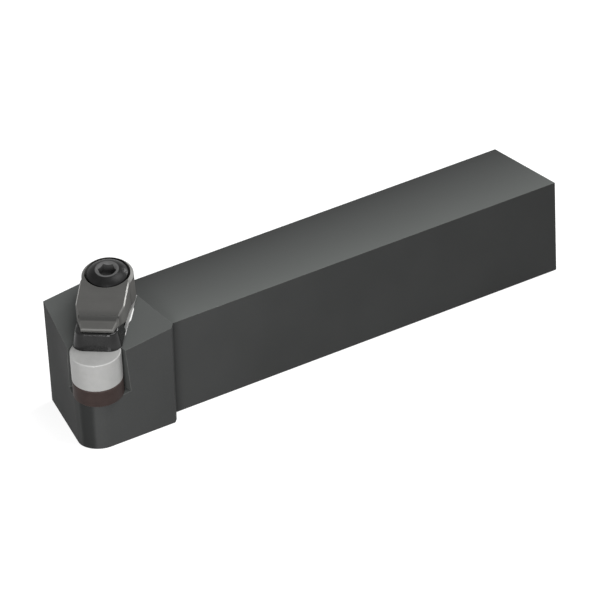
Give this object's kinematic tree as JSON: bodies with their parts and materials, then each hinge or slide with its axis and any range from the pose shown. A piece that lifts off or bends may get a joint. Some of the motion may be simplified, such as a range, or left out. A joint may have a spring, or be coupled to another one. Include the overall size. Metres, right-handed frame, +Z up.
{
  "type": "turning tool holder",
  "caption": "Square-shank turning tool holder with an offset head that clamps a round ceramic insert on a shim under a screwed top clamp.",
  "frame": {"origin": "middle of the shank's bottom face, which rests in the tool post", "axes": "+X from the cutting head to the rear end of the shank, +Y to the far side of the shank, +Z up, square to the bottom face"},
  "size_m": [0.15, 0.032, 0.039],
  "materials": {
    "blackened_steel": "blackened, satin",
    "clamp_steel": "brown-grey, satin",
    "screw_steel": "black oxide",
    "spring_steel": "drawn wire",
    "carbide": "dark, ground",
    "plate_carbide": "dark, smooth",
    "ceramic": "light grey, ground"
  },
  "bodies": {
    "holder": {"holder_body": "blackened_steel", "shim": "carbide", "shim_screw": "screw_steel", "round_insert": "ceramic", "clamp_spring": "spring_steel"},
    "clamp": {"clamp": "clamp_steel", "pressure_plate": "plate_carbide", "plate_pin": "screw_steel"},
    "screw": {"clamp_screw": "screw_steel"}
  },
  "joints": [
    {"name": "clamp_lift", "type": "slide", "parent": "holder", "child": "clamp", "axis": [-0.1745, -0.1784, 0.9684], "range_m": [0, 0.004], "deforming": ["clamp_spring"]},
    {"name": "clamp_screw_turn", "type": "hinge", "parent": "clamp", "child": "screw", "pos_m": [-0.06838, 0.00112, 0.03485], "axis": [-0.1745, -0.1784, 0.9684], "range_deg": [0, 1440]}
  ],
  "couplings": [
    {"joint": "clamp_screw_turn", "follows": "clamp_lift", "rad_per_m": 6283.2}
  ]
}
